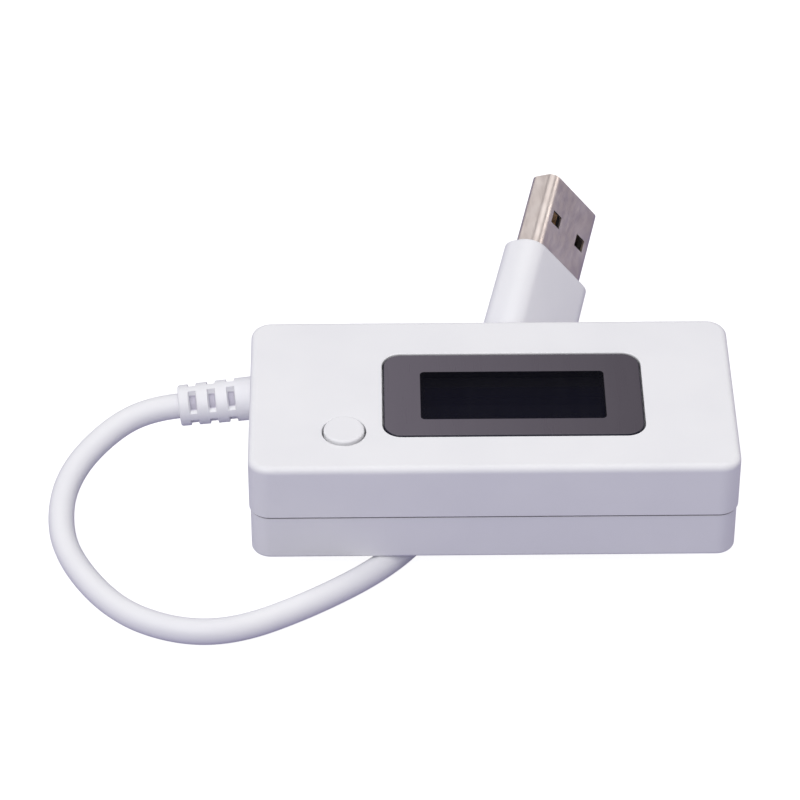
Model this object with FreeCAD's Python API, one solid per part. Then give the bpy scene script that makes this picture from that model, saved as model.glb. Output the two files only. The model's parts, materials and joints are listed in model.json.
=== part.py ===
import FreeCAD
import Part
import math
import os

# In-line USB power meter: a two-part box with a display and one button,
# a USB-A socket in its right end and a short captive lead with a USB-A plug.
# Millimetres. +X right (socket end), +Y back, +Z up. Origin at the centre of the box.
# The box lies on its own lead, which passes under it and ends in the plug behind it.

V = FreeCAD.Vector

# ---------------------------------------------------------------- driving dimensions
CASE_LENGTH = 66.0
CASE_WIDTH = 32.0
CASE_HEIGHT = 15.8
WALL = 1.6
CORNER_RADIUS = 2.8         # upright corners of the box
TOP_EDGE_RADIUS = 0.9
BOTTOM_EDGE_RADIUS = 0.5
CAVITY_FLOOR_RADIUS = 0.9
SEAM_EDGE_RADIUS = 0.12     # outer rims of both shells, beside the parting line
RECESS_EDGE_RADIUS = 0.15   # top rim of the window recess
HOLE_EDGE_RADIUS = 0.12     # top rim of the button hole
LOWER_HEIGHT = 7.2          # box bottom to the parting line
SEAM_GAP = 0.26             # open line between the two shells
LOWER_INSET = 0.2           # the lower shell stands this far inside the upper one
LIP_HEIGHT = 1.6            # tongue of the lower shell inside the upper one
LIP_THICKNESS = 0.7
FIT_GAP = 0.1               # between moulded parts that slot together
PAST = 1.0                  # cutting tools run this far past the faces that they open
LUG_X = (-16.0, 12.0)       # middles of the snap lugs along the box
LUG_LENGTH = 8.0
LUG_PROUD = 0.25
LUG_RISE = (0.6, 1.2)       # lug above the parting line
LUG_SLACK = 0.2             # the lug's pocket is this much longer

BOARD_THICKNESS = 1.2
BOARD_STANDOFF = 1.55       # floor of the box to the underside of the board
BOARD_X = (-28.5, 31.0)
BOARD_Y = (-13.9, 13.9)
PEG_SPOTS = [(-26.5, -11.6), (-14.5, 11.7), (27.0, -11.6), (27.0, 11.6)]
PEG_RADIUS = 0.9
PEG_RISE = 0.8              # peg above the board
POST_RADIUS = 1.9
POST_CLEARANCE = 0.05       # board to the ends of the upper shell's posts
BOARD_CORNER = 1.0

WINDOW_X = (-14.95, 20.6)
WINDOW_Y = (-9.25, 8.55)
WINDOW_CORNER = 2.6
WINDOW_GAP = 0.18
WINDOW_THICKNESS = 1.2
WINDOW_EDGE_RADIUS = 0.25
WINDOW_RIM = 1.4            # thickened ring of the shell round the recess
TAPE_THICKNESS = 0.12
LEDGE_THICKNESS = 1.2       # shell left under the window, around the display opening
VIEW_X = (-9.75, 15.4)
VIEW_Y = (-5.6, 4.55)
VIEW_CORNER = 0.6           # opening of the tape under the window, round the display
FOAM_OPENING = 0.3          # foam stands back this far from the tape's opening
FOAM_WALL = 0.7
GLASS_MARGIN = 2.4          # display glass beyond its opening, each side
GLASS_THICKNESS = 2.8
GASKET_THICKNESS = 0.5
CONTACT_LEDGE = 1.6         # strip of the front glass beyond the rear glass
HOLDER_WALL = 0.9
HOLDER_LIP = 0.4            # inward step that carries the glass
HOLDER_DROP = 0.4           # holder's top below the glass face
LIGHT_THICKNESS = 2.05
LIGHT_MARGIN = 1.6
STRIP_INSET = 0.45          # connector strip behind the glass edge
STRIP_WIDTH = 1.0
STRIP_MARGIN = 1.5

BUTTON_X = -20.14
BUTTON_Y = -8.02
BUTTON_RADIUS = 2.75
BUTTON_GAP = 0.25
BUTTON_PROUD = 0.5
FLANGE_RADIUS = 3.7
BUTTON_EDGE_RADIUS = 0.35
FLANGE_THICKNESS = 0.9
FLANGE_CLEARANCE = 0.04     # flange to the ceiling at rest
COLLAR_GAP = 0.3            # guide collar outside the flange
COLLAR_WALL = 0.9
COLLAR_DEPTH = 1.6
STEM_RADIUS = 1.5
STEM_CLEARANCE = 0.02       # stem to the plunger
SWITCH_SIDE = 6.0
SWITCH_HEIGHT = 3.5
SWITCH_COVER = 0.3
PLUNGER_RADIUS = 1.7
PLUNGER_RISE = 1.3          # plunger above the switch's cover
PLUNGER_GAP = 0.08
PLUNGER_COLLAR = 0.3        # collar beyond the pin, which the cover holds in
COLLAR_HEIGHT = 0.6
SWITCH_FLOOR = 1.0          # board to the bottom of the switch's well
SWITCH_WELL = 0.5           # well beyond the plunger
EAR_WIDTH = 3.0
EAR_BASE = 1.4
DOME_SHEET = 0.12
DOME_MARGIN = 0.35          # dome beyond the plunger
DOME_CLEARANCE = 0.04

SOCKET_WIDTH = 13.1
SOCKET_HEIGHT = 5.8
SOCKET_LENGTH = 13.8
SOCKET_SHEET = 0.3
SOCKET_RECESS = 0.35        # mouth behind the end face of the box
SOCKET_CORNER = 0.5
SOCKET_FLARE = 0.35         # the opening widens this much towards the end face
TONGUE_SETBACK = 1.1        # tongue behind the mouth
TONGUE_LIFT = 0.15          # tongue's lower face above the middle
BLOCK_MARGIN = 0.35         # insulator block to the shell's sides
TONGUE_WIDTH = 11.1
TONGUE_THICKNESS = 1.84
TONGUE_LENGTH = 8.4
CONTACT_PITCHES = (-3.5, -1.0, 1.0, 3.5)
CONTACT_WIDTH = 1.0
CONTACT_THICKNESS = 0.25
CONTACT_SETBACK = 1.0       # blade behind its insulator's front end
GROOVE_GAP = 0.05
GROOVE_DEPTH_GAP = 0.02
SKIN = 0.01                 # keeps touching faces apart

CABLE_DIAMETER = 3.55
CABLE_TOP = -CASE_HEIGHT / 2 - 0.1      # the lead runs this close under the box
RELIEF_RADIUS_CASE = 3.05
RELIEF_RADIUS_END = 2.85
RELIEF_NECK = 2.3
RELIEF_FLANGE = 3.1
RELIEF_FLANGE_DEPTH = 1.2
RELIEF_SEAT_GAP = 0.02
RELIEF_GAPS = 3
RELIEF_PITCH = 2.69
RELIEF_LAST_RING = 2.0     # outer end to the middle of the nearest slot
RELIEF_SLOT = 0.95          # slot along the axis
RELIEF_SLOT_WIDTH = 2.1
RELIEF_CORE = 1.95          # radius left at the bottom of a slot
JACKET_END = 2.4            # outer jacket left inside the box
WIRE_RADIUS = 0.45
WIRE_SPOT = 0.55            # each wire's offset from the middle of the jacket
WIRE_STRAIGHT = 1.6
WIRE_BEND = 4.4             # jacket to the corner over the pad
WIRE_REACH = 6.0
WIRE_LIFT = (0.4, 0.05)     # wire above the board at that corner and at the pad
PAD_PITCH = 1.9
SOLDER_RADIUS = 0.8
SOLDER_TOP_RADIUS = 0.35
SOLDER_HEIGHT = 0.9

PLUG_TIP = V(12.10, 47.82, 5.45)
PLUG_AXIS = V(0.2478, 0.9031, 0.3507)       # from the lead to the tip
PLUG_WIDE = V(0.5608, 0.1615, -0.8121)      # across the plug's wide side
PLUG_SHELL_LENGTH = 12.4
PLUG_WIDTH = 12.0
PLUG_THICKNESS = 4.5
PLUG_SHEET = 0.3
PLUG_CORNER = 1.3
PLUG_SHELL_BURIED = 6.0     # shell inside the overmould
OVERMOULD_LENGTH = 15.6
OVERMOULD_WIDTH = 15.55
OVERMOULD_THICKNESS = 6.65
OVERMOULD_CORNER = 2.7
OVERMOULD_GROWTH = 1.015    # rear section against front section
LATCH_HOLE_FROM_TIP = 6.3
LATCH_HOLE_OFFSET = 3.1
LATCH_HOLE_SIZE = 2.0
TRAY_THICKNESS = 1.95       # insulator under the plug's contacts
TRAY_SETBACK = 0.6          # tray behind the shell's mouth
TRAY_MARGIN = 1.0
PLUG_STRAIGHT = 3.2         # straight run of the lead behind the plug

# ---------------------------------------------------------------- derived places
HALF_L = CASE_LENGTH / 2
HALF_W = CASE_WIDTH / 2
TOP = CASE_HEIGHT / 2
BOTTOM = -CASE_HEIGHT / 2
PARTING = BOTTOM + LOWER_HEIGHT
CEILING = TOP - WALL
FLOOR = BOTTOM + WALL
BOARD_BASE = FLOOR + BOARD_STANDOFF
BOARD_TOP = BOARD_BASE + BOARD_THICKNESS
LEDGE_TOP = TOP - WINDOW_THICKNESS - TAPE_THICKNESS
LEDGE_BASE = LEDGE_TOP - LEDGE_THICKNESS
GLASS_TOP = LEDGE_BASE - GASKET_THICKNESS
GLASS_BASE = GLASS_TOP - GLASS_THICKNESS
GLASS_SPLIT = GLASS_TOP - GLASS_THICKNESS / 2
SOCKET_MIDDLE = BOARD_TOP + SOCKET_HEIGHT / 2
CABLE_RADIUS = CABLE_DIAMETER / 2
CABLE_LEVEL = CABLE_TOP - CABLE_RADIUS

# ---------------------------------------------------------------- the lead's route
# Centre line of the lead, from the end of the strain relief to the back of the plug.
# Behind the box it rises in a tight double bend, because the plug's back faces the box close by.
PLUG_REAR = PLUG_TIP - PLUG_AXIS * (PLUG_SHELL_LENGTH + OVERMOULD_LENGTH)
CABLE_ROUTE = [
    V(-43.15, 9.09, -1.49),
    V(-46.95, 8.87, -1.81),
    V(-52.1, 6.58, -3.05),
    V(-57.4, 0.85, -5.15),
    V(-59.4, -5.75, -7.05),
    V(-58.2, -13.65, -8.95),
    V(-51.35, -23.67, CABLE_LEVEL),
    V(-42.9, -28.3, CABLE_LEVEL),
    V(-34.65, -28.3, CABLE_LEVEL),
    V(-25.05, -23.25, CABLE_LEVEL),
    V(-15.3, -16.1, CABLE_LEVEL),
    V(-9.45, -8.75, CABLE_LEVEL),
    V(-4.5, -1.15, CABLE_LEVEL),
    V(-0.6, 6.05, CABLE_LEVEL),
    V(2.15, 12.65, CABLE_LEVEL),
    V(3.6, 16.95, CABLE_LEVEL),
    PLUG_REAR - PLUG_AXIS * PLUG_STRAIGHT,
    PLUG_REAR,
]


# ---------------------------------------------------------------- helpers
def box(x, y, z):
    """Box between two coordinates on each axis."""
    return Part.makeBox(x[1] - x[0], y[1] - y[0], z[1] - z[0], V(x[0], y[0], z[0]))


def rounded_box(x, y, z, radius):
    """Box with its four upright edges rounded."""
    solid = box(x, y, z)
    corners = [e for e in solid.Edges if abs(e.tangentAt(e.FirstParameter).z) > 0.99]
    return solid.makeFillet(radius, corners)


def rim_edges(solid, level):
    """Edges that lie wholly at one height."""
    return [e for e in solid.Edges
            if abs(e.BoundBox.ZMin - level) < 1e-4 and abs(e.BoundBox.ZMax - level) < 1e-4]


def rim_edges_within(solid, level, x, y):
    """Edges at one height that lie inside a rectangle."""
    return [e for e in rim_edges(solid, level)
            if x[0] < e.BoundBox.Center.x < x[1] and y[0] < e.BoundBox.Center.y < y[1]]


def grown(span, amount):
    return (span[0] - amount, span[1] + amount)


def upright(x, y, radius, z):
    return Part.makeCylinder(radius, z[1] - z[0], V(x, y, z[0]))


def fused(solids):
    shape = solids[0]
    for solid in solids[1:]:
        shape = shape.fuse(solid)
    return shape.removeSplitter()


def cut_all(shape, tools):
    for tool in tools:
        shape = shape.cut(tool)
    return shape


def unit(vector):
    return vector * (1.0 / vector.Length)


def rounded_wire(width, thickness, radius, place):
    """Rounded rectangle in the local YZ plane of a placement, as a closed wire."""
    w = width / 2 - radius
    t = thickness / 2 - radius
    arcs = []
    for quarter, (y, z) in enumerate(((w, t), (-w, t), (-w, -t), (w, -t))):
        angles = [math.radians(90 * quarter + 45 * step) for step in range(3)]
        arcs.append([V(0, y + radius * math.cos(angle), z + radius * math.sin(angle)) for angle in angles])
    edges = []
    for arc, following in zip(arcs, arcs[1:] + arcs[:1]):
        edges.append(Part.Arc(*arc).toShape())
        edges.append(Part.LineSegment(arc[2], following[0]).toShape())
    wire = Part.Wire(edges)
    wire.Placement = place
    return wire


# ---------------------------------------------------------------- casing
def rounded_box_x(x, width, height, radius, middle):
    """Block along X with a rounded rectangular section centred at Y 0."""
    place = FreeCAD.Placement(V(x[0], 0, middle), FreeCAD.Rotation())
    wire = rounded_wire(width, height, radius, place)
    return Part.Face(wire).extrude(V(x[1] - x[0], 0, 0))


def socket_cutout():
    """The socket's outline through the right end wall, flared towards the end face."""
    width = SOCKET_WIDTH + 2 * FIT_GAP
    height = SOCKET_HEIGHT + 2 * FIT_GAP
    passage = rounded_box_x((HALF_L - 3 * WALL, HALF_L + PAST), width, height,
                            SOCKET_CORNER + FIT_GAP, SOCKET_MIDDLE)
    sections = []
    for x, margin in ((HALF_L - SOCKET_FLARE, 0.0), (HALF_L + SOCKET_FLARE, 2 * SOCKET_FLARE)):
        place = FreeCAD.Placement(V(x, 0, SOCKET_MIDDLE), FreeCAD.Rotation())
        sections.append(rounded_wire(width + 2 * margin, height + 2 * margin,
                                     SOCKET_CORNER + FIT_GAP + margin, place))
    return passage.fuse(Part.makeLoft(sections, True, True))


def relief_seat(radius, x):
    return Part.makeCylinder(radius, x[1] - x[0], V(x[0], RELIEF_Y, RELIEF_Z), V(1, 0, 0))


def relief_opening():
    """Round hole through the left end wall for the neck of the strain relief."""
    return relief_seat(RELIEF_NECK + RELIEF_SEAT_GAP, (-HALF_L - PAST, WALL - HALF_L + PAST))


def plan(inset):
    """The box's outline seen from above, this far inside its outer faces."""
    return (inset - HALF_L, HALF_L - inset), (inset - HALF_W, HALF_W - inset)


def outline_block(inset, z):
    return rounded_box(*plan(inset), z, CORNER_RADIUS - inset)


def lip_ring(inset, z):
    """Ring between an inset of the outer wall and the inner wall face."""
    return outline_block(inset, z).cut(outline_block(WALL, grown(z, PAST)))


def lug_boxes(extra):
    """Four snap lugs on the outside of the lower shell's tongue."""
    half_length = (LUG_LENGTH + extra) / 2
    face = HALF_W - WALL + LIP_THICKNESS - FIT_GAP     # outer face of the tongue
    root = face - LIP_THICKNESS / 2
    tip = face + LUG_PROUD + extra / 2
    z = grown((PARTING + LUG_RISE[0], PARTING + LUG_RISE[1]), extra / 2)
    lugs = []
    for x in LUG_X:
        lugs.append(box((x - half_length, x + half_length), (root, tip), z))
        lugs.append(box((x - half_length, x + half_length), (-tip, -root), z))
    return lugs


def at_pegs(radius, z):
    """Cylinders at the four places where the pegs hold the board."""
    return [upright(x, y, radius, z) for x, y in PEG_SPOTS]


def upper_shell():
    base = PARTING + SEAM_GAP / 2
    outer = outline_block(0, (base, TOP))
    outer = outer.makeFillet(TOP_EDGE_RADIUS, rim_edges(outer, TOP))
    outer = outer.makeFillet(SEAM_EDGE_RADIUS, rim_edges(outer, base))
    shell = outer.cut(outline_block(WALL, (base - PAST, CEILING)))
    under_top = CEILING + WALL / 8                      # inner features start inside the top wall
    thickening = box(grown(WINDOW_X, WINDOW_RIM), grown(WINDOW_Y, WINDOW_RIM), (LEDGE_BASE, under_top))
    collar_bore = FLANGE_RADIUS + COLLAR_GAP
    collar = upright(BUTTON_X, BUTTON_Y, collar_bore + COLLAR_WALL, (CEILING - COLLAR_DEPTH, under_top))
    collar = collar.cut(upright(BUTTON_X, BUTTON_Y, collar_bore, (CEILING - COLLAR_DEPTH - PAST, CEILING)))
    posts = at_pegs(POST_RADIUS, (BOARD_TOP + POST_CLEARANCE, under_top))
    shell = fused([shell, thickening, collar] + posts)
    hole_radius = BUTTON_RADIUS + BUTTON_GAP
    shell = cut_all(shell, [
        rounded_box(WINDOW_X, WINDOW_Y, (LEDGE_TOP, TOP + PAST), WINDOW_CORNER),
        upright(BUTTON_X, BUTTON_Y, hole_radius, (CEILING - PAST, TOP + PAST)),
    ])
    recess_rim = rim_edges_within(shell, TOP, grown(WINDOW_X, SKIN), grown(WINDOW_Y, SKIN))
    shell = shell.makeFillet(RECESS_EDGE_RADIUS, recess_rim)
    hole_span = (-hole_radius, hole_radius)
    hole_rim = rim_edges_within(shell, TOP, [BUTTON_X + reach for reach in hole_span],
                                [BUTTON_Y + reach for reach in hole_span])
    shell = shell.makeFillet(HOLE_EDGE_RADIUS, hole_rim)
    foam_edge = FOAM_OPENING + FOAM_WALL + FIT_GAP
    tools = at_pegs(PEG_RADIUS + FIT_GAP, (BOARD_TOP - PAST, BOARD_TOP + PEG_RISE + COLLAR_GAP))
    tools.append(rounded_box(grown(VIEW_X, foam_edge), grown(VIEW_Y, foam_edge),
                             (LEDGE_BASE - PAST, TOP), VIEW_CORNER + FOAM_OPENING + FIT_GAP))
    tools.append(lip_ring(WALL - LIP_THICKNESS, (base - PAST, PARTING + LIP_HEIGHT + FIT_GAP)))
    tools.append(socket_cutout())
    tools.append(relief_opening())
    return cut_all(shell, tools + lug_boxes(LUG_SLACK))


def lower_shell():
    rim = PARTING - SEAM_GAP / 2
    outer = outline_block(LOWER_INSET, (BOTTOM, rim))
    outer = outer.makeFillet(BOTTOM_EDGE_RADIUS, rim_edges(outer, BOTTOM))
    outer = outer.makeFillet(SEAM_EDGE_RADIUS, rim_edges(outer, rim))
    cavity = outline_block(WALL, (FLOOR, rim + PAST))
    cavity = cavity.makeFillet(CAVITY_FLOOR_RADIUS, rim_edges(cavity, FLOOR))
    tongue = lip_ring(WALL - LIP_THICKNESS + FIT_GAP, (rim - LIP_HEIGHT, PARTING + LIP_HEIGHT))
    shell = fused([outer.cut(cavity), tongue] + lug_boxes(0.0))
    posts = at_pegs(POST_RADIUS, (FLOOR - WALL / 8, BOARD_BASE))
    shell = fused([shell] + posts + at_pegs(PEG_RADIUS, (FLOOR, BOARD_TOP + PEG_RISE)))
    return cut_all(shell, [socket_cutout(), relief_opening()])


def display_window():
    plate = rounded_box(grown(WINDOW_X, -WINDOW_GAP), grown(WINDOW_Y, -WINDOW_GAP),
                        (LEDGE_TOP + TAPE_THICKNESS, TOP), WINDOW_CORNER - WINDOW_GAP)
    return plate.makeFillet(WINDOW_EDGE_RADIUS, rim_edges(plate, TOP))


def window_tape():
    """Black adhesive tape behind the window, open over the display."""
    z = (LEDGE_TOP, LEDGE_TOP + TAPE_THICKNESS)
    outer = rounded_box(grown(WINDOW_X, -WINDOW_GAP), grown(WINDOW_Y, -WINDOW_GAP), z,
                        WINDOW_CORNER - WINDOW_GAP)
    return outer.cut(rounded_box(VIEW_X, VIEW_Y, grown(z, PAST), VIEW_CORNER))


# ---------------------------------------------------------------- button and switch
def on_button(radius, z):
    """Cylinder on the button's axis."""
    return upright(BUTTON_X, BUTTON_Y, radius, z)


def button_cap():
    crown = TOP + BUTTON_PROUD
    flange_top = CEILING - FLANGE_CLEARANCE
    flange_base = flange_top - FLANGE_THICKNESS
    stem_base = BOARD_TOP + SWITCH_HEIGHT + PLUNGER_RISE + STEM_CLEARANCE
    head = on_button(BUTTON_RADIUS, (flange_base, crown))
    head = head.makeFillet(BUTTON_EDGE_RADIUS, rim_edges(head, crown))
    flange = on_button(FLANGE_RADIUS, (flange_base, flange_top))
    return fused([head, flange, on_button(STEM_RADIUS, (stem_base, flange_top))])


SWITCH_X = (BUTTON_X - SWITCH_SIDE / 2, BUTTON_X + SWITCH_SIDE / 2)
SWITCH_Y = (BUTTON_Y - SWITCH_SIDE / 2, BUTTON_Y + SWITCH_SIDE / 2)
SWITCH_TOP = BOARD_TOP + SWITCH_HEIGHT
COVER_BASE = SWITCH_TOP - SWITCH_COVER


def switch_base():
    body = box(SWITCH_X, SWITCH_Y, (BOARD_TOP, COVER_BASE))
    return body.cut(on_button(PLUNGER_RADIUS + SWITCH_WELL, (BOARD_TOP + SWITCH_FLOOR, SWITCH_TOP)))


def switch_cover():
    """Sheet metal plate with two ears down the sides."""
    plate = box(SWITCH_X, SWITCH_Y, (COVER_BASE, SWITCH_TOP))
    ear_y = (BUTTON_Y - EAR_WIDTH / 2, BUTTON_Y + EAR_WIDTH / 2)
    ear_z = (BOARD_TOP + EAR_BASE, SWITCH_TOP)
    left = box((SWITCH_X[0] - SWITCH_COVER, SWITCH_X[0]), ear_y, ear_z)
    right = box((SWITCH_X[1], SWITCH_X[1] + SWITCH_COVER), ear_y, ear_z)
    hole = on_button(PLUNGER_RADIUS + PLUNGER_GAP, grown((COVER_BASE, SWITCH_TOP), PAST))
    return fused([plate, left, right]).cut(hole)


PLUNGER_COLLAR_TOP = COVER_BASE - STEM_CLEARANCE
PLUNGER_BASE = PLUNGER_COLLAR_TOP - COLLAR_HEIGHT


def switch_plunger():
    pin = on_button(PLUNGER_RADIUS, (PLUNGER_BASE, SWITCH_TOP + PLUNGER_RISE))
    collar = on_button(PLUNGER_RADIUS + PLUNGER_COLLAR, (PLUNGER_BASE, PLUNGER_COLLAR_TOP))
    return fused([pin, collar])


def switch_dome():
    """Snap dome under the plunger: a shallow cap that flattens when pressed."""
    base = BOARD_TOP + SWITCH_FLOOR + STEM_CLEARANCE
    rise = PLUNGER_BASE - DOME_CLEARANCE - base
    radius = PLUNGER_RADIUS + DOME_MARGIN
    sphere_radius = (radius * radius + rise * rise) / (2 * rise)
    centre = V(BUTTON_X, BUTTON_Y, base + rise - sphere_radius)
    ball = Part.makeSphere(sphere_radius, centre)
    ball = ball.cut(Part.makeSphere(sphere_radius - DOME_SHEET, centre))
    return ball.common(on_button(radius + PAST, (base, base + rise + PAST)))


# ---------------------------------------------------------------- board and display
def circuit_board():
    board = rounded_box(BOARD_X, BOARD_Y, (BOARD_BASE, BOARD_TOP), BOARD_CORNER)
    return cut_all(board, at_pegs(PEG_RADIUS + FIT_GAP, (BOARD_BASE - PAST, BOARD_TOP + PAST)))


def lcd_front_glass():
    return box(grown(VIEW_X, GLASS_MARGIN), grown(VIEW_Y, GLASS_MARGIN), (GLASS_SPLIT, GLASS_TOP))


def lcd_rear_glass():
    """Shorter than the front glass, whose front edge is left bare for the connector strip."""
    y = (VIEW_Y[0] - GLASS_MARGIN + CONTACT_LEDGE, VIEW_Y[1] + GLASS_MARGIN)
    return box(grown(VIEW_X, GLASS_MARGIN), y, (GLASS_BASE, GLASS_SPLIT))


def lcd_gasket():
    """Black foam: a flange on the glass and a wall up through the shell to the tape."""
    opening = grown(VIEW_X, FOAM_OPENING), grown(VIEW_Y, FOAM_OPENING)
    wall_edge = FOAM_OPENING + FOAM_WALL
    corner = VIEW_CORNER + FOAM_OPENING
    flange = box(grown(VIEW_X, GLASS_MARGIN), grown(VIEW_Y, GLASS_MARGIN), (GLASS_TOP, LEDGE_BASE))
    wall = rounded_box(grown(VIEW_X, wall_edge), grown(VIEW_Y, wall_edge), (GLASS_TOP, LEDGE_TOP), corner)
    through = rounded_box(*opening, grown((GLASS_TOP, LEDGE_TOP), PAST), corner)
    return fused([flange, wall]).cut(through)


def lcd_holder():
    """Open frame on the board that carries the display glass."""
    z = (BOARD_TOP, GLASS_TOP - HOLDER_DROP)
    outer_margin = GLASS_MARGIN + HOLDER_WALL
    outer = box(grown(VIEW_X, outer_margin), grown(VIEW_Y, outer_margin), z)
    pocket_margin = GLASS_MARGIN + FIT_GAP
    pocket = box(grown(VIEW_X, pocket_margin), grown(VIEW_Y, pocket_margin),
                 (GLASS_BASE - SKIN, z[1] + PAST))
    through_margin = GLASS_MARGIN - HOLDER_LIP
    through = box(grown(VIEW_X, through_margin), grown(VIEW_Y, through_margin), grown(z, PAST))
    return outer.cut(pocket).cut(through)


def backlight_plate():
    y = (VIEW_Y[0] + HOLDER_LIP, VIEW_Y[1] + LIGHT_MARGIN)
    return box(grown(VIEW_X, LIGHT_MARGIN), y, (GLASS_BASE - LIGHT_THICKNESS, GLASS_BASE))


def lcd_connector_strip():
    """Elastomer strip between the board's pads and the contact ledge of the glass."""
    front = VIEW_Y[0] - GLASS_MARGIN + STRIP_INSET
    return box(grown(VIEW_X, STRIP_MARGIN), (front, front + STRIP_WIDTH), (BOARD_TOP, GLASS_SPLIT))


# ---------------------------------------------------------------- parts on the board
# Each package: place on the board, length, width, height.
CHIP = (3.5, 0.6, 9.7, 4.4, 1.3)
MEMORY = (-4.8, 3.2, 4.9, 3.9, 1.4)
REGULATOR = (-15.9, 3.0, 3.0, 1.6, 1.1)
SHUNT = (-20.5, 0.2, 6.4, 3.2, 0.6)
CRYSTAL = (11.9, 0.4, 3.2, 2.5, 0.7)
CAPACITOR_SIZE = (2.0, 1.25, 0.9)
CAPACITOR_SPOTS = [(-15.9, -1.4), (-15.9, 6.3), (-5.0, -2.6), (12.2, 4.1)]
RESISTOR_SIZE = (1.6, 0.8, 0.45)
RESISTOR_SPOTS = [(-25.4, -5.6), (-25.4, -3.8), (-25.4, -2.0), (7.6, 5.2), (9.6, -3.6), (12.6, -3.6)]
CHIP_LIFT = 0.1             # chip bodies with legs stand this far off the board
LEG_THICKNESS = 0.25
LEG_SHARE = 0.34            # leg's width against its pitch
# Legs of each chip: package, legs a side, pitch, reach.
LEG_ROWS = [(CHIP, 14, 0.65, 1.0), (MEMORY, 4, 1.27, 1.0), (REGULATOR, 2, 1.9, 0.55)]


def package(x, y, length, width, height, lift=0.0):
    """Rectangular body at a place on the board."""
    return box((x - length / 2, x + length / 2), (y - width / 2, y + width / 2),
               (BOARD_TOP + lift, BOARD_TOP + lift + height))


def leg_row(chip, count, pitch, reach):
    """Flat legs along both long sides of a chip."""
    x, y, _, width, _ = chip
    half_leg = pitch * LEG_SHARE / 2
    z = (BOARD_TOP, BOARD_TOP + LEG_THICKNESS)
    legs = []
    for index in range(count):
        middle = x + (index - (count - 1) / 2) * pitch
        span = (middle - half_leg, middle + half_leg)
        legs.append(box(span, (y + width / 2, y + width / 2 + reach), z))
        legs.append(box(span, (y - width / 2 - reach, y - width / 2), z))
    return legs


def chip_leads():
    return Part.makeCompound([leg for row in LEG_ROWS for leg in leg_row(*row)])


def capacitors():
    return Part.makeCompound([package(x, y, *CAPACITOR_SIZE) for x, y in CAPACITOR_SPOTS])


def chip_resistors():
    return Part.makeCompound([package(x, y, *RESISTOR_SIZE) for x, y in RESISTOR_SPOTS])


# ---------------------------------------------------------------- socket
SOCKET_X = (HALF_L - SOCKET_RECESS - SOCKET_LENGTH, HALF_L - SOCKET_RECESS)
TONGUE_Z = (SOCKET_MIDDLE + TONGUE_LIFT, SOCKET_MIDDLE + TONGUE_LIFT + TONGUE_THICKNESS)
TONGUE_X = (SOCKET_X[1] - TONGUE_SETBACK - TONGUE_LENGTH, SOCKET_X[1] - TONGUE_SETBACK)


def socket_shell():
    outer = rounded_box_x(SOCKET_X, SOCKET_WIDTH, SOCKET_HEIGHT, SOCKET_CORNER, SOCKET_MIDDLE)
    inner = rounded_box_x(grown(SOCKET_X, PAST), SOCKET_WIDTH - 2 * SOCKET_SHEET,
                          SOCKET_HEIGHT - 2 * SOCKET_SHEET, SOCKET_CORNER - SOCKET_SHEET, SOCKET_MIDDLE)
    return outer.cut(inner)


def socket_insulator():
    """Block at the back of the shell with a tongue forward, grooved for the contacts."""
    half_width = SOCKET_WIDTH / 2 - SOCKET_SHEET - BLOCK_MARGIN
    half_height = SOCKET_HEIGHT / 2 - SOCKET_SHEET
    block = box((SOCKET_X[0] + SOCKET_SHEET, TONGUE_X[0]), (-half_width, half_width),
                (SOCKET_MIDDLE - half_height, SOCKET_MIDDLE + half_height))
    tongue = box(TONGUE_X, (-TONGUE_WIDTH / 2, TONGUE_WIDTH / 2), TONGUE_Z)
    half_groove = CONTACT_WIDTH / 2 + GROOVE_GAP
    grooves = [box((TONGUE_X[0] - GROOVE_GAP, TONGUE_X[1] - CONTACT_SETBACK + GROOVE_GAP),
                   (y - half_groove, y + half_groove),
                   (TONGUE_Z[0] - SKIN, TONGUE_Z[0] + CONTACT_THICKNESS + GROOVE_DEPTH_GAP))
               for y in CONTACT_PITCHES]
    return cut_all(fused([block, tongue]), grooves)


def socket_contacts():
    """Four blades, each lying in its groove under the tongue."""
    x = (TONGUE_X[0], TONGUE_X[1] - CONTACT_SETBACK)
    z = (TONGUE_Z[0] + SKIN, TONGUE_Z[0] + CONTACT_THICKNESS)
    return Part.makeCompound([box(x, (y - CONTACT_WIDTH / 2, y + CONTACT_WIDTH / 2), z)
                              for y in CONTACT_PITCHES])


# ---------------------------------------------------------------- strain relief and inner wires
RELIEF_DIRECTION = unit(CABLE_ROUTE[1] - CABLE_ROUTE[0])
RELIEF_RUN = (CABLE_ROUTE[0].x + HALF_L) / RELIEF_DIRECTION.x
RELIEF_START = CABLE_ROUTE[0] - RELIEF_DIRECTION * RELIEF_RUN
RELIEF_Y = RELIEF_START.y
RELIEF_Z = RELIEF_START.z
FLANGE_FACE = WALL - HALF_L + RELIEF_SEAT_GAP + RELIEF_FLANGE_DEPTH
JACKET_FACE = FLANGE_FACE + JACKET_END
WIRE_NAMES = ("red", "white", "green", "black")
PAD_Y = [RELIEF_Y + step * PAD_PITCH for step in (-1.5, -0.5, 0.5, 1.5)]


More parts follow.
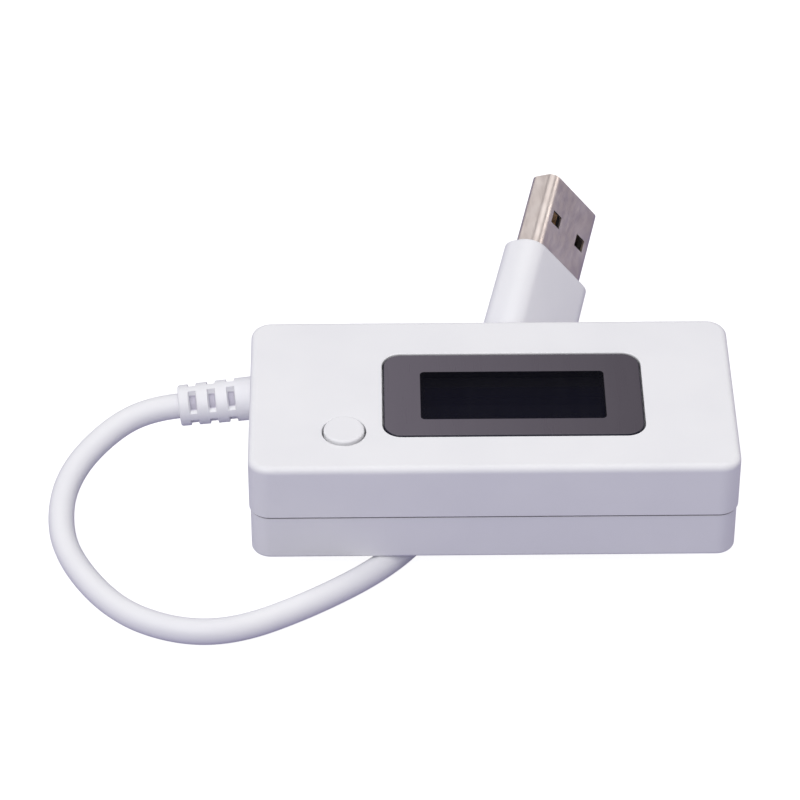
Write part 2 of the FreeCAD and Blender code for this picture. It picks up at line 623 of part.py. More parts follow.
def strain_relief():
    """Slotted sleeve outside the box, a neck through its wall and a flange behind it."""
    root = RELIEF_START - RELIEF_DIRECTION * PAST
    sleeve = Part.makeCone(RELIEF_RADIUS_CASE, RELIEF_RADIUS_END, RELIEF_RUN + PAST,
                           root, RELIEF_DIRECTION)
    beyond = 3 * RELIEF_RADIUS_CASE
    sleeve = sleeve.cut(box((-HALF_L, 0), grown((RELIEF_Y, RELIEF_Y), beyond),
                            grown((RELIEF_Z, RELIEF_Z), beyond)))
    turn = FreeCAD.Rotation(V(1, 0, 0), RELIEF_DIRECTION)
    slots = []
    for gap in range(RELIEF_GAPS):
        along = RELIEF_RUN - RELIEF_LAST_RING - gap * RELIEF_PITCH
        for quarter in range(4):
            slot = box((along - RELIEF_SLOT / 2, along + RELIEF_SLOT / 2), (RELIEF_CORE, beyond),
                       (-RELIEF_SLOT_WIDTH / 2, RELIEF_SLOT_WIDTH / 2))
            slot.rotate(V(0, 0, 0), V(1, 0, 0), 45 + 90 * quarter)
            slot.Placement = FreeCAD.Placement(RELIEF_START, turn).multiply(slot.Placement)
            slots.append(slot)
    sleeve = cut_all(sleeve, slots)
    neck = relief_seat(RELIEF_NECK, (-HALF_L - SKIN, FLANGE_FACE - RELIEF_FLANGE_DEPTH / 2))
    flange = relief_seat(RELIEF_FLANGE, (FLANGE_FACE - RELIEF_FLANGE_DEPTH, FLANGE_FACE))
    return fused([sleeve, neck, flange])


def jacket_end():
    return relief_seat(CABLE_RADIUS, (FLANGE_FACE, JACKET_FACE))


def bent_tube(points, radius, radii):
    """Tube along straight runs joined by tangent arcs of the given radii."""
    edges = []
    length = 0.0
    start = points[0]
    for before, corner, after, bend in zip(points, points[1:], points[2:], radii):
        incoming = unit(corner - before)
        outgoing = unit(after - corner)
        turn = incoming.getAngle(outgoing)
        reach = bend * math.tan(turn / 2)
        arc_start = corner - incoming * reach
        arc_end = corner + outgoing * reach
        inward = unit(outgoing - incoming)
        middle = corner + inward * (bend / math.cos(turn / 2) - bend)
        edges.append(Part.LineSegment(start, arc_start).toShape())
        edges.append(Part.Arc(arc_start, middle, arc_end).toShape())
        length += (arc_start - start).Length + bend * turn
        start = arc_end
    edges.append(Part.LineSegment(start, points[-1]).toShape())
    length += (points[-1] - start).Length
    section = Part.Wire(Part.Circle(points[0], points[1] - points[0], radius).toShape())
    tube = Part.Wire(edges).makePipeShell([section], True, False)
    return tube, length


def arc_radii(points):
    """A fixed share of the shorter run beside each corner, over the tangent of half its turn."""
    share = 0.45
    radii = []
    for before, corner, after in zip(points, points[1:], points[2:]):
        turn = (corner - before).getAngle(after - corner)
        run = min((corner - before).Length, (after - corner).Length)
        radii.append(share * run / math.tan(turn / 2))
    return radii


def inner_wire(index):
    """One insulated wire from the jacket's end down to its pad on the board."""
    side = RELIEF_Y + (WIRE_SPOT if index > 1 else -WIRE_SPOT)
    lift = RELIEF_Z + (WIRE_SPOT if index in (0, 3) else -WIRE_SPOT)
    on_board = BOARD_TOP + WIRE_RADIUS
    points = [V(JACKET_FACE, side, lift),
              V(JACKET_FACE + WIRE_STRAIGHT, side, lift),
              V(JACKET_FACE + WIRE_BEND, PAD_Y[index], on_board + WIRE_LIFT[0]),
              V(JACKET_FACE + WIRE_REACH, PAD_Y[index], on_board + WIRE_LIFT[1])]
    return bent_tube(points, WIRE_RADIUS, arc_radii(points))[0]


def solder_joints():
    """A solder fillet at the end of each inner wire."""
    x = JACKET_FACE + WIRE_REACH + SOLDER_RADIUS + SKIN
    places = [V(x, y, BOARD_TOP) for y in PAD_Y]
    return Part.makeCompound([Part.makeCone(SOLDER_RADIUS, SOLDER_TOP_RADIUS, SOLDER_HEIGHT, place)
                              for place in places])


# ---------------------------------------------------------------- lead and plug
def lead_cable():
    radii = arc_radii(CABLE_ROUTE)
    tube, length = bent_tube(CABLE_ROUTE, CABLE_RADIUS, radii)
    ideal = math.pi * CABLE_RADIUS ** 2 * length
    print("lead radii", [round(radius, 1) for radius in radii])
    print("lead length", round(length, 1), "volume against section x length", round(tube.Volume / ideal, 4))
    return tube


def plug_place(from_tip):
    """Placement at a distance behind the tip: local X to the tip, Y across the wide side."""
    axis = unit(PLUG_AXIS)
    wide = unit(PLUG_WIDE - axis * PLUG_WIDE.dot(axis))
    normal = axis.cross(wide)
    origin = PLUG_TIP - axis * from_tip
    return FreeCAD.Placement(FreeCAD.Matrix(axis.x, wide.x, normal.x, origin.x,
                                            axis.y, wide.y, normal.y, origin.y,
                                            axis.z, wide.z, normal.z, origin.z, 0, 0, 0, 1))


def plug_box(behind_tip, across, outward):
    """Block in the plug's own directions, between two distances behind the tip."""
    block = box((-behind_tip[1], -behind_tip[0]), across, outward)
    block.Placement = plug_place(0)
    return block


PLUG_BACK = PLUG_SHELL_LENGTH + OVERMOULD_LENGTH
SHELL_BACK = PLUG_SHELL_LENGTH + PLUG_SHELL_BURIED
PLUG_INNER = PLUG_THICKNESS / 2 - PLUG_SHEET
TRAY_FACE = PLUG_INNER - TRAY_THICKNESS     # contact side of the insulator
TRAY_HALF_WIDTH = PLUG_WIDTH / 2 - PLUG_SHEET - TRAY_MARGIN


def plug_overmold():
    """Grip moulded round the back of the shell, a little larger towards the lead."""
    front = rounded_wire(OVERMOULD_WIDTH, OVERMOULD_THICKNESS, OVERMOULD_CORNER,
                         plug_place(PLUG_SHELL_LENGTH))
    rear = rounded_wire(OVERMOULD_WIDTH * OVERMOULD_GROWTH, OVERMOULD_THICKNESS * OVERMOULD_GROWTH,
                        OVERMOULD_CORNER, plug_place(PLUG_BACK))
    pocket = rounded_wire(PLUG_WIDTH, PLUG_THICKNESS, PLUG_CORNER, plug_place(PLUG_SHELL_LENGTH))
    pocket = Part.Face(pocket).extrude(unit(PLUG_AXIS) * -PLUG_SHELL_BURIED)
    return Part.makeLoft([front, rear], True, True).cut(pocket)


def plug_shell():
    """Sheet metal tube with two latch holes in each wide side."""
    back = plug_place(SHELL_BACK)
    forward = unit(PLUG_AXIS) * SHELL_BACK
    outer = Part.Face(rounded_wire(PLUG_WIDTH, PLUG_THICKNESS, PLUG_CORNER, back)).extrude(forward)
    inner = rounded_wire(PLUG_WIDTH - 2 * PLUG_SHEET, PLUG_THICKNESS - 2 * PLUG_SHEET,
                         PLUG_CORNER - PLUG_SHEET, back)
    half = LATCH_HOLE_SIZE / 2
    along = (LATCH_HOLE_FROM_TIP - half, LATCH_HOLE_FROM_TIP + half)
    holes = [plug_box(along, (middle - half, middle + half), (-PLUG_THICKNESS, PLUG_THICKNESS))
             for middle in (-LATCH_HOLE_OFFSET, LATCH_HOLE_OFFSET)]
    return cut_all(outer.cut(Part.Face(inner).extrude(forward)), holes)


def plug_insulator():
    across = (-TRAY_HALF_WIDTH, TRAY_HALF_WIDTH)
    tray = plug_box((TRAY_SETBACK, PLUG_SHELL_LENGTH), across, (TRAY_FACE, PLUG_INNER))
    block = plug_box((PLUG_SHELL_LENGTH, SHELL_BACK), across, (-PLUG_INNER, PLUG_INNER))
    half_groove = CONTACT_WIDTH / 2 + GROOVE_GAP
    grooves = [plug_box((TRAY_SETBACK + CONTACT_SETBACK - GROOVE_GAP, PLUG_SHELL_LENGTH),
                        (y - half_groove, y + half_groove),
                        (TRAY_FACE - SKIN, TRAY_FACE + CONTACT_THICKNESS + GROOVE_DEPTH_GAP))
               for y in CONTACT_PITCHES]
    return cut_all(fused([tray, block]), grooves)


def plug_contacts():
    along = (TRAY_SETBACK + CONTACT_SETBACK, PLUG_SHELL_LENGTH - GROOVE_GAP)
    outward = (TRAY_FACE + SKIN, TRAY_FACE + CONTACT_THICKNESS)
    return Part.makeCompound([plug_box(along, (y - CONTACT_WIDTH / 2, y + CONTACT_WIDTH / 2), outward)
                              for y in CONTACT_PITCHES])


# ---------------------------------------------------------------- all nodes
NODES = {
    "upper_shell": upper_shell,
    "lower_shell": lower_shell,
    "display_window": display_window,
    "window_tape": window_tape,
    "button_cap": button_cap,
    "switch_base": switch_base,
    "switch_cover": switch_cover,
    "switch_plunger": switch_plunger,
    "switch_dome": switch_dome,
    "circuit_board": circuit_board,
    "lcd_front_glass": lcd_front_glass,
    "lcd_rear_glass": lcd_rear_glass,
    "lcd_gasket": lcd_gasket,
    "lcd_holder": lcd_holder,
    "lcd_connector_strip": lcd_connector_strip,
    "backlight_plate": backlight_plate,
    "controller_chip": lambda: package(*CHIP, CHIP_LIFT),
    "memory_chip": lambda: package(*MEMORY, CHIP_LIFT),
    "voltage_regulator": lambda: package(*REGULATOR, CHIP_LIFT),
    "shunt_resistor": lambda: package(*SHUNT),
    "crystal": lambda: package(*CRYSTAL),
    "chip_leads": chip_leads,
    "capacitors": capacitors,
    "chip_resistors": chip_resistors,
    "socket_shell": socket_shell,
    "socket_insulator": socket_insulator,
    "socket_contacts": socket_contacts,
    "strain_relief": strain_relief,
    "jacket_end": jacket_end,
    "solder_joints": solder_joints,
    "lead_cable": lead_cable,
    "plug_overmold": plug_overmold,
    "plug_shell": plug_shell,
    "plug_insulator": plug_insulator,
    "plug_contacts": plug_contacts,
}


def main():
    os.makedirs("parts", exist_ok=True)
    for name, make in NODES.items():
        make().exportStep("parts/" + name + ".step")
    for index, colour in enumerate(WIRE_NAMES):
        inner_wire(index).exportStep("parts/lead_wire_" + colour + ".step")


main()
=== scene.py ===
import json
import math

import bmesh
import bpy
from mathutils import Matrix, Vector


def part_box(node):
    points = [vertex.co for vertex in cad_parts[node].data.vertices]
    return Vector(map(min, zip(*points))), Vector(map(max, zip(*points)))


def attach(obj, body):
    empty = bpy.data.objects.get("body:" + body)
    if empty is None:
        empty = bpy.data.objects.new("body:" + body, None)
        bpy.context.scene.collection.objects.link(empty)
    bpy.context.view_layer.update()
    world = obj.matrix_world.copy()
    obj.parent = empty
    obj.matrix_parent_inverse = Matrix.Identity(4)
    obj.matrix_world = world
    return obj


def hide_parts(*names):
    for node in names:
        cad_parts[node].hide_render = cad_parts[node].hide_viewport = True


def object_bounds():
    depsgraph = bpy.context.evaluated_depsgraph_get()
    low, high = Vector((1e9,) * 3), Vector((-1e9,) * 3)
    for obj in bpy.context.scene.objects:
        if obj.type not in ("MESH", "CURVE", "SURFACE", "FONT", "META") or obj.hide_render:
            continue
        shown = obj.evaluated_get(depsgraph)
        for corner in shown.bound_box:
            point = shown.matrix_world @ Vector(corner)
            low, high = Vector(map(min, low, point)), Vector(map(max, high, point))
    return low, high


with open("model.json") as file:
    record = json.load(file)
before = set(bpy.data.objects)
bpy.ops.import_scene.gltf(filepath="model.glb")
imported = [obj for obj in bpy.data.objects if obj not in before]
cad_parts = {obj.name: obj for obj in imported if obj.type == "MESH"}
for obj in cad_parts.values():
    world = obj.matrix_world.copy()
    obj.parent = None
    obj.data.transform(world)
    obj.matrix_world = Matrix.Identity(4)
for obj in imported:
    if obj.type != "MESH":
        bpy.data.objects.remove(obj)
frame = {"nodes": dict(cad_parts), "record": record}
CAD_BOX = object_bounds()
NODES = frame["nodes"]
MM = 0.001

# ---------------------------------------------------------------- driving dimensions, in metres
CABLE_DIAMETER = 0.00355

PLUG_TIP = Vector((12.10, 47.82, 5.45)) * MM
PLUG_AXIS = Vector((0.2478, 0.9031, 0.3507)).normalized()
PLUG_WIDE = Vector((0.5608, 0.1615, -0.8121))
PLUG_SHELL_LENGTH = 0.0124
PLUG_SHELL_BURIED = 0.0060       # part of the metal shell inside the grip
PLUG_SHELL_SIZE = (0.0120, 0.0045)
PLUG_SHELL_CORNER = 0.0013
GRIP_LENGTH = 0.0156
GRIP_SIZE = (0.01555, 0.00665)
GRIP_CORNER = 0.0027
GRIP_GROWTH = 1.015              # rear of the grip against its front
GRIP_EDGE = 0.0006               # rounding of its rear edge; the front edge has half of it
GRIP_SMALLEST_CORNER = 0.0003
GRIP_ROWS = 12
GRIP_LEAD_IN = 0.0032            # straight run of the lead into the grip
PLUG_REAR = PLUG_TIP - PLUG_AXIS * (PLUG_SHELL_LENGTH + GRIP_LENGTH)

RELIEF_RADII = (0.00305, 0.00285)        # at the case and at the lead
RELIEF_CORE = 0.00195
RELIEF_SLOT = (0.00095, 0.0021)          # along the axis, across it
RELIEF_PITCH = 0.00269
RELIEF_LAST_RING = 0.0020                # sleeve's end to the middle of its last slot
RELIEF_GAPS = 3
RELIEF_SLOT_EDGE = 0.00022               # softness of a slot's sides
RELIEF_END_EDGE = 0.0003
RELIEF_BITE = 0.0001                     # how far the sleeve's end reaches into the lead
RELIEF_STANDOFF = 0.00002                # sleeve to the case's face
RELIEF_TURN = 0.002                      # length over which it turns from the wall to the lead
RELIEF_NECK = 0.0023
RELIEF_FLANGE = 0.0031
RELIEF_FLANGE_EDGE = 0.0002
RELIEF_FLANGE_THICKNESS = 0.0012
RELIEF_FLANGE_GAP = 0.00005              # flange to the wall's inner face
RELIEF_SHADE = (0.00005, 0.0003)         # painted shade is full to the first height off a slot's floor
# colour of the painted shade on the slots' floors
PAINTED_SLOT_SHADE = (0.50, 0.48, 0.56)
RELIEF_ROWS = 120
RELIEF_AROUND = 96
CASE_WALL = 0.0016

WINDOW_X = (-0.01477, 0.02042)           # outline of the window sheet
WINDOW_Y = (-0.00907, 0.00837)
WINDOW_CORNER = 0.00242
WINDOW_RIM = 0.00014                     # width of the painted shade round the window's edge
VIEW_X = (-0.00975, 0.0154)              # clear view in the window's print
VIEW_Y = (-0.0056, 0.00455)
VIEW_CORNER = 0.0006
VIEW_ALPHA = 0.4
# colour of the painted shade round the window's edge
PAINTED_RIM_SHADE = (0.012, 0.011, 0.024)
VIEW_COLOUR = (0.003, 0.003, 0.008)
MASK_SOFTNESS = 0.00004
SEAM_LEVEL = -0.0007                     # middle of the line between the shells
SEAM_SHADE = (0.00012, 0.00019)          # painted shade is full to the first height off it, gone at the second
# colour of the painted shade in the line between the shells
PAINTED_SEAM_SHADE = (0.17, 0.15, 0.19)

CORNER_STEPS = 8                         # steps of a quarter turn on the plug's corners
END_STEPS = 5                            # steps of a quarter turn on the front and end edges
REAR_STEPS = 6                           # the same on the grip's rear edge
CREASE_ANGLE = math.radians(50)

CAMERA_PLACE = (-0.01717, -0.40641, 0.33974)
CAMERA_ELEVATION = math.radians(39.331)
CAMERA_YAW = math.radians(0.657)
CAMERA_LENS = 173.43                     # in millimetres, on a 36 mm sensor
CAMERA_SENSOR = 36.0

WHITE = (1.0, 1.0, 1.0)
WARM_WHITE = (1.0, 0.96, 0.94)
ROOM = (0.21, 0.205, 0.235)
# name, place, size, power in watts, colour
LIGHTS = (
    ("overhead", (0.0, 0.03, 0.80), (0.9, 0.7), 2.8, WHITE),
    ("front", (-0.34, -0.55, 0.70), (0.7, 0.5), 4.5, WHITE),
    ("right", (0.72, 0.14, 0.35), (0.5, 0.4), 1.3, WARM_WHITE),
    ("back_left", (-0.64, 0.51, 0.37), (0.6, 0.5), 0.95, WHITE),
)
TABLE_REACH = 3.0
# base colour, glow colour, glow strength
TABLE_BOUNCE = ((0.28, 0.262, 0.415), (0.90, 0.88, 1.0), 0.06)
TABLE_SEEN = ((0.32, 0.32, 0.33), WHITE, 0.92)

# The lead's centre line, from the strain relief round the front and under the box to the plug.
LEAD_ROUTE = [Vector(point) * MM for point in (
    (-43.15, 9.09, -1.49),
    (-46.95, 8.87, -1.81),
    (-52.1, 6.58, -3.05),
    (-57.4, 0.85, -5.15),
    (-59.4, -5.75, -7.05),
    (-58.2, -13.65, -8.95),
    (-51.35, -23.67, -9.775),
    (-42.9, -28.3, -9.775),
    (-34.65, -28.3, -9.775),
    (-25.05, -23.25, -9.775),
    (-15.3, -16.1, -9.775),
    (-9.45, -8.75, -9.775),
    (-4.5, -1.15, -9.775),
    (-0.6, 6.05, -9.775),
    (2.15, 12.65, -9.775),
    (3.6, 16.95, -9.775),
)] + [PLUG_REAR - PLUG_AXIS * GRIP_LEAD_IN, PLUG_REAR]


# ---------------------------------------------------------------- camera
def add_camera():
    data = bpy.data.cameras.new("camera")
    data.lens = CAMERA_LENS
    data.sensor_width = CAMERA_SENSOR
    data.clip_start = 0.01
    data.clip_end = 10.0
    camera = bpy.data.objects.new("camera", data)
    camera.location = CAMERA_PLACE
    camera.rotation_euler = (math.pi / 2 - CAMERA_ELEVATION, 0.0, -CAMERA_YAW)
    bpy.context.scene.collection.objects.link(camera)
    bpy.context.scene.camera = camera


# ---------------------------------------------------------------- shared helpers
def add_piece(name, data, look, replaced, body="meter"):
    """Links a new piece, gives it its material and slot, and lets it stand for CAD nodes."""
    piece = bpy.data.objects.new(name, data)
    bpy.context.scene.collection.objects.link(piece)
    data.materials.append(look)
    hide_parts(*replaced)
    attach(piece, body)
    return piece


def lofted(name, rings):
    """Closed mesh through rings of equal point counts, with its two ends filled."""
    bm = bmesh.new()
    loops = [[bm.verts.new(point) for point in ring] for ring in rings]
    count = len(rings[0])
    for low, high in zip(loops, loops[1:]):
        for index in range(count):
            after = (index + 1) % count
            bm.faces.new((low[index], low[after], high[after], high[index]))
    for loop in (loops[0], loops[-1]):
        bm.faces.new(loop)
    bmesh.ops.recalc_face_normals(bm, faces=bm.faces)
    for face in bm.faces:
        face.smooth = True
    for edge in bm.edges:
        edge.smooth = edge.calc_face_angle(0.0) < CREASE_ANGLE
    mesh = bpy.data.meshes.new(name)
    bm.to_mesh(mesh)
    bm.free()
    return mesh


def rounded_ring(size, corner, place, along):
    """Rounded rectangle across a place's X axis, at a distance along it."""
    half_w = size[0] / 2 - corner
    half_t = size[1] / 2 - corner
    points = []
    for quarter, (w, t) in enumerate(((1, 1), (-1, 1), (-1, -1), (1, -1))):
        for step in range(CORNER_STEPS + 1):
            angle = math.radians(90 * (quarter + step / CORNER_STEPS))
            local = Vector((along, w * half_w + corner * math.cos(angle),
                            t * half_t + corner * math.sin(angle)))
            points.append(place @ local)
    return points


def smooth_step(value):
    """Eases from 0 to 1 as the value goes from 0 to 1."""
    value = min(1.0, max(0.0, value))
    return value * value * (3 - 2 * value)


# ---------------------------------------------------------------- materials
def new_material(name):
    """A material with its nodes, its links and its shader."""
    look = bpy.data.materials.new(name)
    look.use_nodes = True
    return look, look.node_tree.nodes, look.node_tree.links, look.node_tree.nodes["Principled BSDF"]


def noise_node(nodes, links, scale, detail, stretch=(1.0, 1.0, 1.0), turn=(0.0, 0.0, 0.0)):
    """Noise in the piece's own coordinates, so it stays on the piece as it moves."""
    where = nodes.new("ShaderNodeTexCoord")
    mapping = nodes.new("ShaderNodeMapping")
    mapping.inputs["Scale"].default_value = stretch
    mapping.inputs["Rotation"].default_value = turn
    noise = nodes.new("ShaderNodeTexNoise")
    noise.inputs["Scale"].default_value = scale
    noise.inputs["Detail"].default_value = detail
    links.new(where.outputs["Object"], mapping.inputs["Vector"])
    links.new(mapping.outputs["Vector"], noise.inputs["Vector"])
    return noise.outputs["Fac"]


def mix_colours(nodes, links, factor, first, second):
    """First colour where the factor is 0, second where it is 1."""
    mix = nodes.new("ShaderNodeMix")
    mix.data_type = "RGBA"
    mix.inputs["A"].default_value = (*first, 1.0)
    mix.inputs["B"].default_value = (*second, 1.0)
    links.new(factor, mix.inputs["Factor"])
    return mix.outputs["Result"]


def spread(nodes, links, value, low, high, source=(0.35, 0.65)):
    """Maps the source range onto low to high. The default source is where noise mostly lies."""
    remap = nodes.new("ShaderNodeMapRange")
    remap.inputs["From Min"].default_value = source[0]
    remap.inputs["From Max"].default_value = source[1]
    remap.inputs["To Min"].default_value = low
    remap.inputs["To Max"].default_value = high
    links.new(value, remap.inputs["Value"])
    return remap.outputs["Result"]


def own_axes(nodes, links):
    """A piece's own X, Y and Z."""
    where = nodes.new("ShaderNodeTexCoord")
    parts = nodes.new("ShaderNodeSeparateXYZ")
    links.new(where.outputs["Object"], parts.inputs[0])
    return parts.outputs


def math_node(nodes, links, operation, first, second=0.0):
    """Math on two sockets or numbers."""
    node = nodes.new("ShaderNodeMath")
    node.operation = operation
    for socket, value in zip(node.inputs, (first, second)):
        if isinstance(value, float):
            socket.default_value = value
        else:
            links.new(value, socket)
    return node.outputs[0]


def surface(name, colours, roughness, grain, metallic=0.0, blotch=90.0, painted_reflection_span=None,
            stretch=(1.0, 1.0, 1.0), turn=(0.0, 0.0, 0.0), **sockets):
    """Material with slow colour variation, roughness that follows its grain and a fine relief.

    colours are the two ends of the variation, roughness its range, and grain the noise scale and
    relief depth in metres. With fade, a range along the piece's own X, the colour follows X as a painted
    reflection."""
    look, nodes, links, shader = new_material(name)
    fine = noise_node(nodes, links, grain[0], 3.0, stretch, turn)
    if painted_reflection_span:
        factor = spread(nodes, links, own_axes(nodes, links)["X"], 0.0, 1.0, painted_reflection_span)
    else:
        factor = spread(nodes, links, noise_node(nodes, links, blotch, 2.0), 0.0, 1.0)
    links.new(mix_colours(nodes, links, factor, *colours), shader.inputs["Base Color"])
    links.new(spread(nodes, links, fine, *roughness), shader.inputs["Roughness"])
    bump = nodes.new("ShaderNodeBump")
    bump.inputs["Distance"].default_value = grain[1]
    links.new(fine, bump.inputs["Height"])
    links.new(bump.outputs["Normal"], shader.inputs["Normal"])
    shader.inputs["Metallic"].default_value = metallic
    for socket, value in sockets.items():
        shader.inputs[socket.replace("_", " ")].default_value = value
    return look


def tint_over(look, mask, colour):
    """Mixes a plain colour over a material's own, where the mask is 1."""
    nodes, links = look.node_tree.nodes, look.node_tree.links
    base = nodes["Principled BSDF"].inputs["Base Color"]
    mix = nodes.new("ShaderNodeMix")
    mix.data_type = "RGBA"
    links.new(mask, mix.inputs["Factor"])
    links.new(base.links[0].from_socket, mix.inputs["A"])
    mix.inputs["B"].default_value = (*colour, 1.0)
    links.new(mix.outputs["Result"], base)


def white_abs():
    """White box plastic, with painted shade in the line between the two shells."""
    look = surface("white_abs", ((0.835, 0.835, 0.85), (0.86, 0.86, 0.87)), (0.36, 0.46),
                   (2400.0, 0.000006), Specular_IOR_Level=0.4)
    nodes, links = look.node_tree.nodes, look.node_tree.links
    # painted shade: darker near the seam's height in the piece's own Z
    height = math_node(nodes, links, "SUBTRACT", own_axes(nodes, links)["Z"], SEAM_LEVEL)
    away = math_node(nodes, links, "ABSOLUTE", height)
    painted_seam_shade = spread(nodes, links, away, 1.0, 0.0, SEAM_SHADE)
    tint_over(look, painted_seam_shade, PAINTED_SEAM_SHADE)
    return look


def white_pvc():
    """Softer white of the lead, its relief and its grip."""
    return surface("white_pvc", ((0.84, 0.84, 0.86), (0.87, 0.87, 0.88)), (0.42, 0.52),
                   (1800.0, 0.000006), Specular_IOR_Level=0.4)


def rectangle_mask(nodes, links, reach_x, reach_y, corner):
    """1 inside a rounded rectangle of a piece's own X and Y, 0 outside it."""
    axes = own_axes(nodes, links)
    squares = []
    for axis, (low, high) in (("X", reach_x), ("Y", reach_y)):
        offset = math_node(nodes, links, "SUBTRACT", axes[axis], (low + high) / 2)
        away = math_node(nodes, links, "ABSOLUTE", offset)
        beyond = math_node(nodes, links, "SUBTRACT", away, (high - low) / 2 - corner)
        beyond = math_node(nodes, links, "MAXIMUM", beyond)
        squares.append(math_node(nodes, links, "MULTIPLY", beyond, beyond))
    distance = math_node(nodes, links, "SQRT", math_node(nodes, links, "ADD", *squares))
    return spread(nodes, links, distance, 1.0, 0.0, (corner - MASK_SOFTNESS, corner + MASK_SOFTNESS))


def smoked_window():
    """Smoked sheet with a brushed grey print round its view, where the display shows through; a painted
    reflection lightens the print to the left, and painted shade darkens its edge.
    """
    # the print's colour runs lighter on the left and darker on the right: a painted reflection
    look = surface("smoked_window", ((0.132, 0.118, 0.140), (0.084, 0.074, 0.088)), (0.26, 0.40),
                   (700.0, 0.000001), painted_reflection_span=WINDOW_X, stretch=(1.0, 0.09, 1.0),
                   turn=(0.0, 0.0, math.radians(14)), Specular_IOR_Level=0.28)
    nodes, links = look.node_tree.nodes, look.node_tree.links
    # painted shade: a dark band just inside the window's outline
    inner_x = (WINDOW_X[0] + WINDOW_RIM, WINDOW_X[1] - WINDOW_RIM)
    inner_y = (WINDOW_Y[0] + WINDOW_RIM, WINDOW_Y[1] - WINDOW_RIM)
    inner = rectangle_mask(nodes, links, inner_x, inner_y, WINDOW_CORNER - WINDOW_RIM)
    painted_rim_shade = math_node(nodes, links, "SUBTRACT", 1.0, inner)
    tint_over(look, painted_rim_shade, PAINTED_RIM_SHADE)
    view = rectangle_mask(nodes, links, VIEW_X, VIEW_Y, VIEW_CORNER)
    tint_over(look, view, VIEW_COLOUR)
    clear = spread(nodes, links, view, 1.0, VIEW_ALPHA, (0.0, 1.0))
    links.new(clear, nodes["Principled BSDF"].inputs["Alpha"])
    return look


def black_tape():
    """Dull tape under the window, round the display."""
    return surface("black_tape", ((0.006, 0.006, 0.008), (0.010, 0.010, 0.012)), (0.5, 0.6),
                   (1500.0, 0.000002), Specular_IOR_Level=0.2)


def lcd_glass():
    """Display when off: nearly black, with a blue cast."""
    return surface("lcd_glass", ((0.006, 0.006, 0.025), (0.0078, 0.0078, 0.031)), (0.10, 0.12),
                   (900.0, 0.0000001), Specular_IOR_Level=0.35)


def nickel():
    """Satin plate, with its grain drawn out along Y."""
    return surface("nickel", ((0.62, 0.545, 0.50), (0.71, 0.64, 0.595)), (0.34, 0.46),
                   (1300.0, 0.000003), metallic=1.0, blotch=260.0, stretch=(1.0, 0.15, 1.0))


# colours, roughness, grain and metal of the materials that need nothing more
PLAIN_SURFACES = {
    "board_green": (((0.012, 0.10, 0.045), (0.018, 0.14, 0.06)), (0.25, 0.4), (900.0, 0.000004), 0.0),
    "black_foam": (((0.012, 0.012, 0.012), (0.022, 0.022, 0.022)), (0.85, 0.95), (2600.0, 0.00004), 0.0),
    "black_plastic": (((0.016, 0.016, 0.017), (0.026, 0.026, 0.027)), (0.42, 0.6), (2200.0, 0.00001), 0.0),
    "light_guide": (((0.78, 0.82, 0.85), (0.84, 0.87, 0.9)), (0.15, 0.25), (700.0, 0.000003), 0.0),
    "ceramic": (((0.40, 0.29, 0.19), (0.50, 0.37, 0.25)), (0.5, 0.65), (3000.0, 0.00001), 0.0),
    "steel": (((0.50, 0.50, 0.50), (0.60, 0.60, 0.59)), (0.22, 0.34), (1800.0, 0.000002), 1.0),
    "tin": (((0.58, 0.58, 0.58), (0.68, 0.68, 0.67)), (0.28, 0.42), (2500.0, 0.000006), 1.0),
    "gold": (((0.72, 0.50, 0.20), (0.80, 0.58, 0.26)), (0.18, 0.3), (2200.0, 0.000002), 1.0),
    "wire_red": (((0.45, 0.02, 0.02), (0.52, 0.03, 0.03)), (0.38, 0.5), (2500.0, 0.000004), 0.0),
    "wire_white": (((0.74, 0.74, 0.74), (0.80, 0.80, 0.80)), (0.38, 0.5), (2500.0, 0.000004), 0.0),
    "wire_green": (((0.02, 0.26, 0.07), (0.03, 0.32, 0.09)), (0.38, 0.5), (2500.0, 0.000004), 0.0),
    "wire_black": (((0.014, 0.014, 0.014), (0.022, 0.022, 0.022)), (0.38, 0.5), (2500.0, 0.000004), 0.0),
}


def make_looks():
    """One material for each material slot of the record."""
    makers = (white_abs, white_pvc, smoked_window, black_tape, lcd_glass, nickel)
    looks = {make.__name__: make() for make in makers}
    for name, (colours, roughness, grain, metallic) in PLAIN_SURFACES.items():
        looks[name] = surface(name, colours, roughness, grain, metallic)
    return looks


def dress_nodes(looks):
    """Gives each CAD node the material of its slot in the record."""
    for part in frame["record"]["subparts"]:
        slot = part["material_slot"]
        mesh = NODES[part["node"]].data
        mesh.materials.clear()
        mesh.materials.append(looks[slot])


# ---------------------------------------------------------------- lead
def add_lead(looks):
    """Round lead swept along its route."""
    curve = bpy.data.curves.new("lead_cable_flex", "CURVE")
    curve.dimensions = "3D"
    curve.bevel_depth = CABLE_DIAMETER / 2
    curve.bevel_resolution = 7
    curve.resolution_u = 16
    curve.use_fill_caps = True
    spline = curve.splines.new("NURBS")
    spline.points.add(len(LEAD_ROUTE) - 1)
    for control, point in zip(spline.points, LEAD_ROUTE):
        control.co = (*point, 1.0)
    spline.order_u = 3
    spline.use_endpoint_u = True
    return add_piece("lead_cable_flex", curve, looks["white_pvc"], ["lead_cable"])


